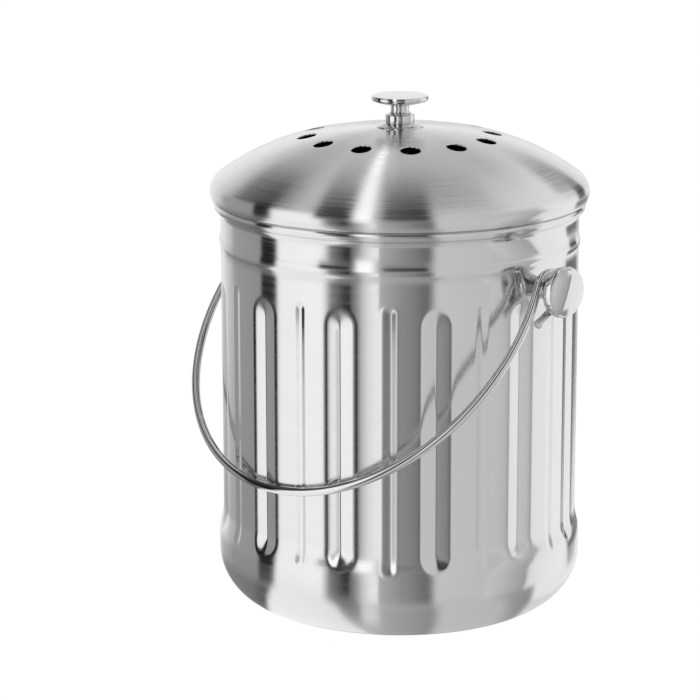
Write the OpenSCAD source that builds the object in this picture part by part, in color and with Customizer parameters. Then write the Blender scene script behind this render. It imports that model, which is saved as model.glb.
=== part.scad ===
// Countertop compost pail: fluted steel pail, wire bail on two capped posts, vented lift-off lid with a
// turned knob, and a carbon filter in a cage under the vents.
// Millimetres. The origin is the centre of the pail's flat bottom, +Z is up, the bail's pivot lies along X.

/* [Pail] */
// Height to the top of the rolled rim
pail_h = 194.5; // [180:0.5:215]
// Outer radius of the straight wall
wall_r = 84.2; // [78:0.1:92]
// Thickness of the pail's sheet
pail_t = 0.8; // [0.6:0.05:1]
// How far the lower band stands out from the wall
band_step = 2; // [1:0.1:3]
// Height of the lower band's upper edge
band_top = 32; // [28:0.5:40]
// Height over which the band draws in to the wall
band_draw = 13; // [9:0.5:18]
// Radius of the bottom corner
corner_r = 25.5; // [18:0.5:27]

/* [Flutes] */
// Flutes of each kind around the wall
flute_count = 12; // [10:1:13]
// Angle of the first wide flute from the X axis
flute_phase = -4.2; // [-15:0.1:15]
// Height of the flutes' lower ends
flute_bottom = 34.5; // [33.5:0.5:50]
// Distance from the rim's top down to the flutes' upper ends
flute_drop = 34; // [31:0.5:50]
// Half the width of a wide flute
wide_half_w = 8.6; // [6:0.1:9]
// Depth of a wide flute
wide_depth = 1.3; // [0.9:0.05:1.8]
// Half the width of a narrow flute
narrow_half_w = 3.2; // [2.5:0.1:5]
// Depth of a narrow flute
narrow_depth = 0.55; // [0.4:0.05:1]

/* [Rim and bead] */
// Diameter of the rolled rim
roll_d = 3.9; // [3.2:0.1:4.6]
// How far the rolled rim stands out from the wall
roll_out = 3.15; // [2.6:0.05:3.8]
// Height of the cove under the rolled rim
cove_h = 4.1; // [3:0.1:5.5]
// Distance from the rim's top down to the middle of the bead
bead_drop = 17.4; // [14:0.1:19]
// Height of the bead
bead_h = 8.6; // [5:0.1:10]
// How far the bead stands out from the wall
bead_out = 0.75; // [0.4:0.05:1.2]

/* [Lid] */
// How far the lid's widest line stands out from the wall
lid_over = 4.7; // [4:0.1:6]
// Radius of the dome's middle
dome_r = 230; // [200:1:280]
// Radius of the dome's shoulder
shoulder_r = 107; // [95:1:125]
// Distance from the axis at which the middle passes into the shoulder
shoulder_at = 40.5; // [30:0.5:50]
// Thickness of the lid's sheet
lid_t = 0.8; // [0.6:0.05:1]
// Radius that rounds the dome into its edge
edge_round = 8.2; // [5:0.1:9]
// Radius of the edge's turned-in lower part
edge_tuck = 10; // [8.5:0.1:13]
// Height of the widest line above the lid's lower edge
edge_h = 3.8; // [3.5:0.1:6]
// Gap between the lid's seat and the rim
seat_gap = 0.1; // [0.05:0.05:0.3]
// Radial gap between the locating ring and the pail's mouth
mouth_gap = 0.6; // [0.4:0.05:1]
// Sheet thickness of the locating ring
ring_t = 0.8; // [0.6:0.05:1.2]
// Depth of the locating ring below the lid's seat
ring_depth = 10; // [7:0.5:14]
// Number of vents
vent_count = 12; // [8:1:16]
// Diameter of a vent
vent_d = 9.5; // [6:0.1:11]
// Radius of the circle of vents
vent_ring_r = 43.6; // [40:0.1:46]
// Angle of the first vent from the X axis
vent_phase = -9.64; // [-15:0.01:15]

/* [Knob] */
// Radius of the knob's disc
disc_r = 13.5; // [11:0.1:16]
// Thickness of the disc, without its crown
disc_t = 3.6; // [2.5:0.1:4]
// Rise of the disc's crowned top
disc_crown = 0.5; // [0.2:0.1:1]
// Radius of the waist
waist_r = 4.3; // [3.5:0.1:4.4]
// Height of the waist
waist_h = 5.2; // [4:0.1:7]
// Radius of the waist's flare under the disc
flare_r = 1.3; // [0.8:0.1:1.6]
// Radius of the waist's flare down to its foot
foot_flare = 2.1; // [1:0.1:2.2]
// Radius of the collar
collar_r = 6.9; // [6.9:0.1:9]
// Height of the collar
collar_h = 4.2; // [3:0.1:6]
// Rounding of the collar's edges
collar_round = 0.5; // [0.3:0.1:0.5]
// Radius of the thin flange on the dome
flange_r = 11.1; // [9.5:0.1:13]
// Height of the flange above the dome's top
flange_t = 1.4; // [0.7:0.1:1.6]
// Diameter of the knob's screw
knob_screw_d = 4; // [3:0.5:4]
// Radius of the screw's head
screw_head_r = 3.8; // [3.6:0.1:5]
// Height of the screw's head
screw_head_h = 2.4; // [2:0.1:3]
// Radius of the washer under the filter housing
knob_washer_r = 8; // [6:0.1:9]
// Thickness of that washer
knob_washer_t = 1; // [0.8:0.1:1.5]

/* [Filter] */
// Inner radius of the housing's ring
housing_r = 52; // [50:0.1:56]
// Thickness of the housing's and the cage's walls
plastic_t = 1.8; // [1.4:0.1:2.4]
// Radius of the housing's hub
hub_r = 9; // [8:0.1:11]
// Length of the hub below the dome
hub_h = 9.8; // [8:0.1:11]
// Number of the housing's spokes
spoke_count = 6; // [3:1:8]
// Width of a spoke
spoke_w = 3; // [2:0.1:4]
// Height of a spoke
spoke_h = 3; // [2:0.1:4]
// Depth of the housing's ring below the hub
skirt_drop = 14.5; // [13:0.1:16]
// Gap between the housing's ring and the cage
cage_gap = 0.4; // [0.3:0.05:0.6]
// How far the cage overlaps the housing's ring
cage_lap = 8; // [5:0.5:10]
// Room between the bottom of the housing's ring and the cage's floor
cage_room = 3; // [1:0.1:5]
// Width of the cage's air slots
slot_w = 5; // [4:0.1:6]
// Thickness of the filter pad
pad_t = 10; // [7:0.5:11]
// Gap between the pad and the housing's ring
pad_gap = 1.5; // [1:0.1:3]

/* [Handle posts] */
// Distance from the rim's top down to the pivot
pivot_drop = 30; // [26:0.5:36]
// Radius of the sleeve that the hook turns on
sleeve_r = 5; // [4.5:0.1:6]
// Diameter of the stud
stud_d = 5; // [4:0.5:5]
// Clearance around studs and screws in their holes, on the radius
hole_gap = 0.05; // [0.03:0.01:0.1]
// Radius of the cap
cap_r = 11.7; // [10:0.1:13]
// Thickness of the cap, without its crown
cap_t = 5.6; // [3:0.1:7]
// Rise of the cap's crowned face
cap_crown = 0.7; // [0.2:0.1:1]
// Rounding of the cap's edges
cap_round = 0.8; // [0.4:0.1:0.9]
// Radius of the washer inside the pail
post_washer_r = 6; // [5:0.1:8]
// Thickness of that washer
post_washer_t = 1; // [0.8:0.1:1.5]
// Width of the nut across its flats
nut_flats = 8; // [7.5:0.1:10]
// Height of the nut
nut_h = 4; // [3:0.1:5]

/* [Bail] */
// Diameter of the wire
wire_d = 4; // [3.5:0.1:4.5]
// Distance from the pivot to the middle of the bow, along the bail
bail_reach = 127.7; // [122:0.1:140]
// Gap between the bow and the lid's edge as the bail goes over it
bow_gap = 4.6; // [3:0.1:8]
// Angle by which the legs splay outward
leg_splay = 5; // [3:0.5:7]
// Offset of the bow's plane from the pivot
leg_offset = 4; // [3:0.1:4.5]
// Play between the hook and its sleeve, on the radius
hook_play = 0.6; // [0.5:0.05:1]
// Lean of the leg's upper end toward the hook
leg_lean = 14; // [10:0.5:18]
// Lean of the tail toward the leg
tail_lean = 22; // [18:0.5:26]
// Length of the tail
tail_l = 17; // [12:0.5:20]
// Sideways travel of the wire round the hook
hook_travel = 4; // [3:0.1:4.5]
// Gap between the hook and the cap
cap_gap = 0.7; // [0.4:0.1:3]
// Gap between the bow at rest and the wall
lean_gap = 0.3; // [0.3:0.05:0.6]

/* [Hidden] */
$fn = 96;

// How far a cutter runs past what it cuts
past = 1;
// Steps in each arc of an outline
arc_steps = 8;
// Flat faces in a quarter turn of a flute's end
end_steps = 2;
// How far the cove's outline stops short of the roll's outermost line
roll_lap = 0.45;
// Rounding of the disc's top edge and of its rim
disc_edge = 1;
rim_round = 0.4 * disc_t;
// Sides of the wire, rings in a hook and rings in the bow
wire_sides = 12;
hook_steps = 16;
bow_steps = 40;

wire_r = wire_d / 2;
stud_r = stud_d / 2;
knob_screw_r = knob_screw_d / 2;

// Levels of the pail
rim_z = pail_h - roll_d / 2;
roll_r = wall_r + roll_out - roll_d / 2;
bead_z = pail_h - bead_drop;
cove_top = pail_h - roll_d;
flute_top = pail_h - flute_drop;
pivot_z = pail_h - pivot_drop;

// Levels and radii of the lid
seat_z = pail_h + seat_gap;
edge_z = seat_z + edge_h;
lid_r = wall_r + lid_over;
shoulder_x = (dome_r - shoulder_r) * shoulder_at / dome_r;
shoulder_z = edge_z - sqrt(pow(shoulder_r - edge_round, 2) - pow(lid_r - edge_round - shoulder_x, 2));
dome_z = shoulder_z - sqrt(pow(dome_r - shoulder_r, 2) - pow(shoulder_x, 2));
apex_z = dome_z + dome_r;
mouth_r = wall_r - pail_t;

// Levels of the filter, from the dome's underside down
hub_z = apex_z - lid_t - hub_h;
knob_washer_z = hub_z - knob_washer_t;
skirt_z = hub_z - skirt_drop;
cage_floor_top = skirt_z - cage_room;
cage_in_r = housing_r + plastic_t + cage_gap;
cage_out_r = cage_in_r + plastic_t;

// Levels of the knob
collar_z = apex_z + flange_t;
waist_z = collar_z + collar_h;
disc_z = waist_z + waist_h;

// The bail: its bow passes the lid's edge, and its legs meet the hooks beside the pivot
bow_r = lid_r + bow_gap + wire_r;
bow_d = bail_reach - bow_r;
hook_r = sleeve_r + hook_play + wire_r;
leg_u = bow_r * cos(leg_splay) - (bow_d - bow_r * sin(leg_splay)) * tan(leg_splay);
hook_u = leg_u + hook_travel / 2;
hook_tilt = asin(hook_travel / 2 / hook_r);
cap_x = leg_u + hook_travel + wire_r + cap_gap;
rest_angle = asin((wall_r + wire_r + lean_gap) / norm([bail_reach, leg_offset]))
    - atan(leg_offset / bail_reach);

// Points along an arc from angle a0 to angle a1
function arc(centre, r, a0, a1, n = arc_steps) =
    [for (i = [0:n]) let (a = a0 + (a1 - a0) * i / n) centre + r * [cos(a), sin(a)]];

// Arc that leaves the vertical at p and gains dr over dz; side is +1 where its centre lies outward
function draw_arc(p, dr, dz, side) =
    let (turn = 2 * atan(dr / dz), r = dz / sin(turn))
    [for (i = [0:arc_steps]) let (a = turn * i / arc_steps) p + [side * r * (1 - cos(a)), r * sin(a)]];

// S-shaped step inward by step over height h, starting at p
function ogee(p, step, h) =
    let (lower = draw_arc(p, step / 2, h / 2, -1), top = p + [-step, h])
    concat(lower, [for (i = [1:arc_steps]) top - (lower[arc_steps - i] - p)]);

// Outline of the pail's skin, moved inward by t, from the axis at the bottom up to the rim
function pail_outline(t) =
    let (
        band_r = wall_r + band_step,
        bead_curve = (pow(bead_h / 2, 2) + pow(bead_out, 2)) / (2 * bead_out),
        bead_turn = asin(bead_h / 2 / bead_curve)
    )
    concat(
        [[0, t]],
        arc([band_r - corner_r, corner_r], corner_r - t, -90, 0),
        ogee([band_r - t, band_top], band_step, band_draw),
        arc([wall_r - t + bead_out - bead_curve, bead_z], bead_curve, -bead_turn, bead_turn),
        draw_arc([wall_r - t, cove_top - cove_h], roll_out - roll_lap, cove_h, 1)
    );

// Outline of the lid's skin, moved inward by t, from the top of the dome down to the lower edge
function lid_outline(t) =
    let (
        turn = acos(shoulder_at / dome_r),
        meet = atan2(edge_z - shoulder_z, lid_r - edge_round - shoulder_x)
    )
    concat(
        arc([0, dome_z], dome_r - t, 90, turn, 2 * arc_steps),
        arc([shoulder_x, shoulder_z], shoulder_r - t, turn, meet, 2 * arc_steps),
        arc([lid_r - edge_round, edge_z], edge_round - t, meet, 0),
        arc([lid_r - edge_tuck, edge_z], edge_tuck - t, 0, -asin(edge_h / (edge_tuck - t)))
    );

// Radius of the lid's inner face at its lower edge
lid_mouth_r = lid_r - edge_tuck + sqrt(pow(edge_tuck - lid_t, 2) - pow(edge_h, 2));

// Solid inside an outline of the pail, closed to the axis at height top
module pail_form(t, top) {
    rotate_extrude() polygon(concat(
        pail_outline(t),
        [[wall_r - t + roll_out - roll_lap, top], [0, top]]
    ));
}

// Solid inside the lid's skin, moved inward by t, down to floor
module lid_form(t, floor = seat_z) {
    points = lid_outline(t);
    rotate_extrude() polygon(concat(points, [[points[len(points) - 1].x, floor], [0, floor]]));
}

// How far the wall stands out at a height, where it draws in from the band
function band_out(z) =
    let (share = min(1, max(0, (z - band_top) / band_draw)))
    band_step * (1 - share * share * (3 - 2 * share));

// One flute as a cutter: a V groove with a round upper end. Its lower end scoops straight into the band,
// or climbs with it by the share follow
module flute(half_w, depth, t, follow) {
    floor_r = wall_r - depth - t;
    out_x = wall_r + 2 * band_step + past;
    high = flute_top - half_w;
    bend = band_top + band_draw + past;
    low = flute_bottom + half_w;
    quarter = 4 * end_steps;
    turns = concat(
        [for (i = [0:quarter / 2]) [i * 360 / quarter, high]],
        [[180, bend]],
        [for (i = [quarter / 2:quarter]) [i * 360 / quarter, low]],
        [[360, bend]]
    );
    lips = [for (turn = turns)
        let (y = half_w * cos(turn[0]), z = turn[1] + half_w * sin(turn[0]))
        [sqrt(pow(wall_r, 2) - pow(y, 2)) - t + (z < low || follow > 0 ? band_out(z) : 0), y, z]
    ];
    count = len(lips);
    left = quarter / 2;
    right = count - 1;
    keel = [[floor_r + follow * band_out(low), 0, low], [floor_r, 0, bend], [floor_r, 0, high]];
    outer = [for (lip = lips) [out_x, lip.y, lip.z]];
    polyhedron(
        points = concat(keel, lips, outer),
        faces = concat(
            [for (i = [0:left - 1]) [2, 3 + i, 4 + i]],
            [for (i = [left + 2:right - 2]) [0, 3 + i, 4 + i]],
            [[2, 3 + left, 4 + left, 1], [1, 4 + left, 5 + left, 0]],
            [[1, 0, 2 + right, 3 + right], [2, 1, 3 + right, 3]],
            [
                for (i = [0:right])
                let (j = (i + 1) % count)
                [3 + i, 3 + count + i, 3 + count + j, 3 + j]
            ],
            [[for (i = [right:-1:0]) 3 + count + i]]
        )
    );
}

module flutes(t) {
    pitch = 360 / flute_count;
    for (i = [0:flute_count - 1]) {
        rotate([0, 0, flute_phase + i * pitch]) flute(wide_half_w, wide_depth, t, 0);
        rotate([0, 0, flute_phase + (i + 0.5) * pitch]) flute(narrow_half_w, narrow_depth, t, 1);
    }
}

module pail_shell() {
    color("silver") union() {
        difference() {
            pail_form(0, cove_top + roll_d / 6);
            flutes(0);
            difference() {
                pail_form(pail_t, pail_h + past);
                flutes(pail_t);
            }
            for (side = [0, 180]) {
                rotate([0, 0, side]) translate([mouth_r - past - wide_depth, 0, pivot_z])
                    rotate([0, 90, 0]) cylinder(h = pail_t + 2 * past + wide_depth, r = stud_r + hole_gap);
            }
        }
        rotate_extrude() translate([roll_r, rim_z]) circle(r = roll_d / 2);
    }
}

// Places a piece that is drawn along +Z on the pivot, pointing out of the pail
module on_pivot(x = 0) {
    translate([x, 0, pivot_z]) rotate([0, 90, 0]) children();
}

// Cap with its stud: crowned face, rounded edges, and a stud that runs through sleeve, wall and nut
module handle_cap() {
    stud_in = mouth_r - wide_depth - post_washer_t - nut_h - past;
    crown_r = (pow(cap_r - cap_round, 2) + pow(cap_crown, 2)) / (2 * cap_crown);
    crown_turn = asin((cap_r - cap_round) / crown_r);
    color("silver") {
        on_pivot(cap_x) rotate_extrude() polygon(concat(
            [[0, 0]],
            arc([cap_r - cap_round, cap_round], cap_round, -90, 0),
            arc([cap_r - cap_round, cap_t - cap_round], cap_round, 0, 90 - crown_turn),
            arc([0, cap_t + cap_crown - crown_r], crown_r, 90 - crown_turn, 90)
        ));
        on_pivot(stud_in) cylinder(h = cap_x + cap_t / 2 - stud_in, r = stud_r);
    }
}

module handle_sleeve() {
    color("lightgray") difference() {
        on_pivot(wall_r - past) cylinder(h = cap_x - wall_r + past, r = sleeve_r);
        on_pivot(wall_r - 2 * past) cylinder(h = cap_x - wall_r + 3 * past, r = stud_r + hole_gap);
        cylinder(h = pail_h, r = wall_r);
    }
}

// Flat inner face that the washer can have against the curved and fluted wall
washer_x = sqrt(pow(mouth_r, 2) - pow(post_washer_r, 2));

module handle_washer() {
    color("gray") on_pivot(washer_x - post_washer_t) difference() {
        cylinder(h = post_washer_t, r = post_washer_r);
        translate([0, 0, -past]) cylinder(h = post_washer_t + 2 * past, r = stud_r + hole_gap);
    }
}

module handle_nut() {
    color("gray") on_pivot(washer_x - post_washer_t - nut_h) difference() {
        cylinder(h = nut_h, r = nut_flats / sqrt(3), $fn = 6);
        translate([0, 0, -past]) cylinder(h = nut_h + 2 * past, r = stud_r + hole_gap);
    }
}

// A point of the bail from its place along the pivot, along the legs and out of the bow's plane
function at(u, d, n) = [u, -n, -d];

// Points of the right hook, from the open end of its tail round the sleeve to the leg
function hook_path() =
    let (tail_turn = 180 + tail_lean, start = hook_point(tail_turn))
    concat(
        [start + tail_l * [0, -sin(tail_lean), -cos(tail_lean)]],
        [for (i = [0:hook_steps]) hook_point(tail_turn - (tail_turn + leg_lean) * i / hook_steps)]
    );

// Point of the hook at an angle from the side of the leg, over the top of the sleeve
function hook_point(a) =
    let (n = hook_r * cos(a))
    at(hook_u - n * sin(hook_tilt), -hook_r * sin(a), n * cos(hook_tilt));

// Where the leg bends from its lean into the bow's plane
function leg_bend() =
    let (top = hook_point(-leg_lean), d = -top.z + (-top.y - leg_offset) / tan(leg_lean))
    at(leg_u + d * tan(leg_splay), d, leg_offset);

function mirrored(path) = [for (i = [len(path) - 1:-1:0]) [-path[i].x, path[i].y, path[i].z]];

function bow_path() = [for (i = [0:bow_steps])
    let (a = -leg_splay + (180 + 2 * leg_splay) * i / bow_steps)
    at(bow_r * cos(a), bow_d + bow_r * sin(a), leg_offset)];

function unit(v) = v / norm(v);

function heading(path, i) = unit(path[min(i + 1, len(path) - 1)] - path[max(i - 1, 0)]);

// Side direction of a ring, carried on to point i without a twist
function carried(path, i, side) =
    i >= len(path) ? side : let (t = heading(path, i)) unit(side - (side * t) * t);

// Wire along a path, as rings of points joined by triangles
module wire(path) {
    first = carried(path, 0, [1, 0.1, 0]);
    sides = [for (s = [0, first]; s[0] < len(path); s = [s[0] + 1, carried(path, s[0] + 1, s[1])]) s[1]];
    last = (len(path) - 1) * wire_sides;
    polyhedron(
        points = [
            for (i = [0:len(path) - 1], k = [0:wire_sides - 1])
            let (a = 360 * k / wire_sides, up = cross(heading(path, i), sides[i]))
            path[i] + wire_r * (cos(a) * sides[i] + sin(a) * up)
        ],
        faces = concat(
            [[for (k = [0:wire_sides - 1]) k]],
            [[for (k = [wire_sides - 1:-1:0]) last + k]],
            [
                for (i = [0:len(path) - 2], k = [0:wire_sides - 1], half = [0, 1])
                let (a = i * wire_sides + k, b = i * wire_sides + (k + 1) % wire_sides)
                half == 0 ? [a, a + wire_sides, b] : [b, a + wire_sides, b + wire_sides]
            ]
        )
    );
}

module bail_handle() {
    right = concat(hook_path(), [leg_bend()]);
    color("lightgray") translate([0, 0, pivot_z]) rotate([-rest_angle, 0, 0])
        wire(concat(right, bow_path(), mirrored(right)));
}

module lid_dome() {
    color("silver") difference() {
        lid_form(0);
        lid_form(lid_t, seat_z - past);
        for (i = [0:vent_count - 1]) {
            rotate([0, 0, vent_phase + i * 360 / vent_count]) translate([vent_ring_r, 0, seat_z])
                cylinder(h = apex_z - seat_z, r = vent_d / 2);
        }
        cylinder(h = apex_z + past, r = knob_screw_r + hole_gap);
    }
}

// Flange that rests on the rolled rim, and a skirt that centres the lid in the pail's mouth
module lid_locating_ring() {
    skirt_r = mouth_r - mouth_gap;
    color("silver") rotate_extrude() polygon([
        [skirt_r - ring_t, seat_z - ring_depth],
        [skirt_r, seat_z - ring_depth],
        [skirt_r, seat_z],
        [lid_mouth_r, seat_z],
        [lid_mouth_r, seat_z + ring_t],
        [skirt_r - ring_t, seat_z + ring_t]
    ]);
}

// Disc with a crowned top and a bevelled underside on a waist that flares at both ends
module knob_head() {
    crown_r = (pow(disc_r - disc_edge, 2) + pow(disc_crown, 2)) / (2 * disc_crown);
    crown_turn = asin((disc_r - disc_edge) / crown_r);
    side_z = disc_z + disc_t - disc_edge;
    color("silver") difference() {
        rotate_extrude() polygon(concat(
            [[0, waist_z]],
            arc([waist_r + foot_flare, waist_z + foot_flare], foot_flare, -90, -180),
            arc([waist_r + flare_r, disc_z - flare_r], flare_r, 180, 90),
            [[disc_r - 3 * rim_round, disc_z]],
            arc([disc_r - rim_round, side_z - disc_edge / 5], rim_round, -60, 0),
            arc([disc_r - disc_edge, side_z], disc_edge, 0, 90 - crown_turn),
            arc([0, disc_z + disc_t + disc_crown - crown_r], crown_r, 90 - crown_turn, 90)
        ));
        translate([0, 0, waist_z - past])
            cylinder(h = waist_h + disc_t / 2 + past, r = knob_screw_r + hole_gap);
    }
}

module knob_collar() {
    color("silver") difference() {
        rotate_extrude() polygon(concat(
            [[0, collar_z]],
            arc([collar_r - collar_round, collar_z + collar_round], collar_round, -90, 0),
            arc([collar_r - collar_round, waist_z - collar_round], collar_round, 0, 90),
            [[0, waist_z]]
        ));
        translate([0, 0, collar_z - past]) cylinder(h = collar_h + 2 * past, r = knob_screw_r + hole_gap);
    }
}

// Thin flange whose underside follows the dome
module knob_flange() {
    color("silver") difference() {
        translate([0, 0, apex_z - past]) cylinder(h = past + flange_t, r = flange_r);
        lid_form(0);
        cylinder(h = collar_z + past, r = knob_screw_r + hole_gap);
    }
}

module knob_screw() {
    color("gray") {
        translate([0, 0, knob_washer_z - screw_head_h]) cylinder(h = screw_head_h, r = screw_head_r);
        translate([0, 0, knob_washer_z - screw_head_h])
            cylinder(h = disc_z + screw_head_h - knob_washer_z, r = knob_screw_r);
    }
}

module knob_washer() {
    color("gray") translate([0, 0, knob_washer_z]) difference() {
        cylinder(h = knob_washer_t, r = knob_washer_r);
        translate([0, 0, -past]) cylinder(h = knob_washer_t + 2 * past, r = knob_screw_r + hole_gap);
    }
}

// Hub under the knob, spokes and a ring that follow the dome's underside
module filter_housing() {
    color("dimgray") intersection() {
        lid_form(lid_t);
        difference() {
            union() {
                translate([0, 0, hub_z]) cylinder(h = 2 * hub_h, r = hub_r);
                difference() {
                    translate([0, 0, skirt_z]) cylinder(h = 3 * hub_h, r = housing_r + plastic_t);
                    translate([0, 0, skirt_z - past]) cylinder(h = 4 * hub_h, r = housing_r);
                }
                for (i = [0:spoke_count - 1]) {
                    rotate([0, 0, vent_phase + (180 / vent_count) + i * 360 / spoke_count])
                        translate([hub_r - past, -spoke_w / 2, hub_z - spoke_h / 2])
                        cube([housing_r - hub_r + 2 * past, spoke_w, spoke_h]);
                }
            }
            translate([0, 0, hub_z - past]) cylinder(h = 3 * hub_h, r = knob_screw_r + hole_gap);
            translate([0, 0, hub_z - spoke_h]) cylinder(h = spoke_h, r = knob_washer_r + hole_gap);
        }
    }
}

// Shallow cage: a wall that pushes over the housing's ring, and a floor of rings and spokes
module filter_cage() {
    ribs = 3;
    ring_pitch = cage_in_r / (ribs + 0.5);
    floor_z = cage_floor_top - plastic_t;
    color("dimgray") {
        difference() {
            translate([0, 0, floor_z]) cylinder(h = cage_room + cage_lap + plastic_t, r = cage_out_r);
            translate([0, 0, floor_z - past])
                cylinder(h = cage_room + cage_lap + 2 * past + plastic_t, r = cage_in_r);
        }
        difference() {
            translate([0, 0, floor_z]) cylinder(h = plastic_t, r = cage_in_r + plastic_t / 2);
            for (i = [1:ribs]) {
                translate([0, 0, floor_z - past]) difference() {
                    cylinder(h = plastic_t + 2 * past, r = i * ring_pitch + slot_w);
                    cylinder(h = plastic_t + 2 * past, r = i * ring_pitch - slot_w);
                    for (k = [0:spoke_count - 1]) {
                        rotate([0, 0, k * 360 / spoke_count]) translate([0, -spoke_w / 2, 0])
                            cube([cage_out_r, spoke_w, plastic_t + 2 * past]);
                    }
                }
            }
        }
    }
}

module charcoal_filter() {
    color("black") translate([0, 0, cage_floor_top]) cylinder(h = pad_t, r = housing_r - pad_gap);
}

pail_shell();
handle_cap();  // handle_cap_right
mirror([1, 0, 0]) handle_cap();  // handle_cap_left
handle_sleeve();  // handle_sleeve_right
mirror([1, 0, 0]) handle_sleeve();  // handle_sleeve_left
handle_washer();  // handle_washer_right
mirror([1, 0, 0]) handle_washer();  // handle_washer_left
handle_nut();  // handle_nut_right
mirror([1, 0, 0]) handle_nut();  // handle_nut_left
bail_handle();
lid_dome();
lid_locating_ring();
knob_head();
knob_collar();
knob_flange();
knob_screw();
knob_washer();
filter_housing();
filter_cage();
charcoal_filter();
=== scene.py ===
# %% [markdown]
# # A fluted steel compost pail
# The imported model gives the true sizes, the places and the joints of the pail. This lesson dresses it:
# every visible piece is worked out again with numpy as a smooth surface in the same place, and gets the
# brushed or turned steel of the real one. The pail's lengths are written in millimetres and made metres
# at the end, while the camera and the floor are in metres.

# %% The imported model
import bmesh
import bpy
import math
import numpy as np
from mathutils import Matrix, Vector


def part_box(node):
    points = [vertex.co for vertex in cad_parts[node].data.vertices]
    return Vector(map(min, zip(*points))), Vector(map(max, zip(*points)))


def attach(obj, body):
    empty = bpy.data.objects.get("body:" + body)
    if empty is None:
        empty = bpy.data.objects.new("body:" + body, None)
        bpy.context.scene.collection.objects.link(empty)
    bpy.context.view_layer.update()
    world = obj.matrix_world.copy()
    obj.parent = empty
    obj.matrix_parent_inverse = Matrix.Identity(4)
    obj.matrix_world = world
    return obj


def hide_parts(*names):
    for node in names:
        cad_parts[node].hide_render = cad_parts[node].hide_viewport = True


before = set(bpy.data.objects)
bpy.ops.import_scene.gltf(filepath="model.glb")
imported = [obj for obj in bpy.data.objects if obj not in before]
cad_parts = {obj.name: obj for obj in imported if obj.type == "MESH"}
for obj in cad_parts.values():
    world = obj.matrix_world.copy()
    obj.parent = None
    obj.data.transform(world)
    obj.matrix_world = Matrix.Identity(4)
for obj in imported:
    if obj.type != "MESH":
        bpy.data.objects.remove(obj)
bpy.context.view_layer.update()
MM = 0.001


def edge(node, corner, axis):
    """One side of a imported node's box in millimetres: corner 0 is the low one and 1 the high one."""
    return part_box(node)[corner][axis] / MM


X, Y, Z = 0, 1, 2
LID_OVER = 4.7
RIM_TOP = edge("pail_shell", 1, Z)
SEAT = edge("lid_dome", 0, Z)
APEX = edge("lid_dome", 1, Z)
LID_R = edge("lid_dome", 1, Y)
WALL_R = LID_R - LID_OVER
PIVOT_Z = (edge("handle_cap_right", 0, Z) + edge("handle_cap_right", 1, Z)) / 2
print("rim", round(RIM_TOP, 2), "apex", round(APEX, 2))
print("wall radius", round(WALL_R, 2), "pivot height", round(PIVOT_Z, 2))

# %% [markdown]
# ## The camera
# The photograph was taken from a little above, with a long lens, off the corner between the front of the
# pail and its right post. The camera comes first, so that every later step can be judged in its view. It
# is aimed with an azimuth, a pitch and a small roll, as a tripod head is.

# %% Camera
VIEW_AZIMUTH = 44.0
CAMERA_DISTANCE = 1.3564
CAMERA_HEIGHT = 0.4514
CAMERA_PITCH = 13.716
CAMERA_YAW = -0.99
CAMERA_ROLL = 0.105
LENS = 151.0
FRAME_WIDTH = 36.0


def aimed_camera():
    """Places the camera: looks along the azimuth, then turns by the yaw, tips by the pitch and rolls."""
    azimuth = math.radians(VIEW_AZIMUTH)
    data = bpy.data.cameras.new("photo_camera")
    data.lens = LENS
    data.sensor_width = FRAME_WIDTH
    data.clip_end = 50.0
    camera = bpy.data.objects.new("photo_camera", data)
    place = Matrix.Translation((
        CAMERA_DISTANCE * math.sin(azimuth), -CAMERA_DISTANCE * math.cos(azimuth), CAMERA_HEIGHT))
    turn = Matrix.Rotation(azimuth - math.radians(CAMERA_YAW), 4, "Z")
    tip = Matrix.Rotation(math.radians(90 - CAMERA_PITCH), 4, "X")
    roll = Matrix.Rotation(math.radians(-CAMERA_ROLL), 4, "Z")
    camera.matrix_world = place @ turn @ tip @ roll
    bpy.context.scene.collection.objects.link(camera)
    bpy.context.scene.camera = camera
    return camera


camera = aimed_camera()
print("camera at", [round(c, 3) for c in camera.matrix_world.translation])

# %% [markdown]
# ## Shader maths as plain expressions
# Node trees are hard to read as lists of links. A small class wraps one socket and overloads the
# operators, so that 1 - mask adds a Subtract node. Every other node comes from one method.

# %% Shader expressions


class Wire:
    """One value in a node tree. An operator adds a Math node and returns its output as a new Wire."""

    def __init__(self, tree, socket):
        self.tree = tree
        self.socket = socket

    def math(self, operation, *others):
        node = self.tree.add("ShaderNodeMath", {"operation": operation}, [self, *others])
        return node.out("Value")

    def __add__(self, other):
        return self.math("ADD", other)

    def __sub__(self, other):
        return self.math("SUBTRACT", other)

    def __rsub__(self, other):
        return self.tree.add("ShaderNodeMath", {"operation": "SUBTRACT"}, [other, self]).out("Value")

    def __mul__(self, other):
        return self.math("MULTIPLY", other)

    def __truediv__(self, other):
        return self.math("DIVIDE", other)

    __radd__ = __add__
    __rmul__ = __mul__


class Added:
    """A node that was just added, with its outputs by name."""

    def __init__(self, tree, node):
        self.tree = tree
        self.node = node

    def out(self, name=0):
        return Wire(self.tree, self.node.outputs[name])


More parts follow.
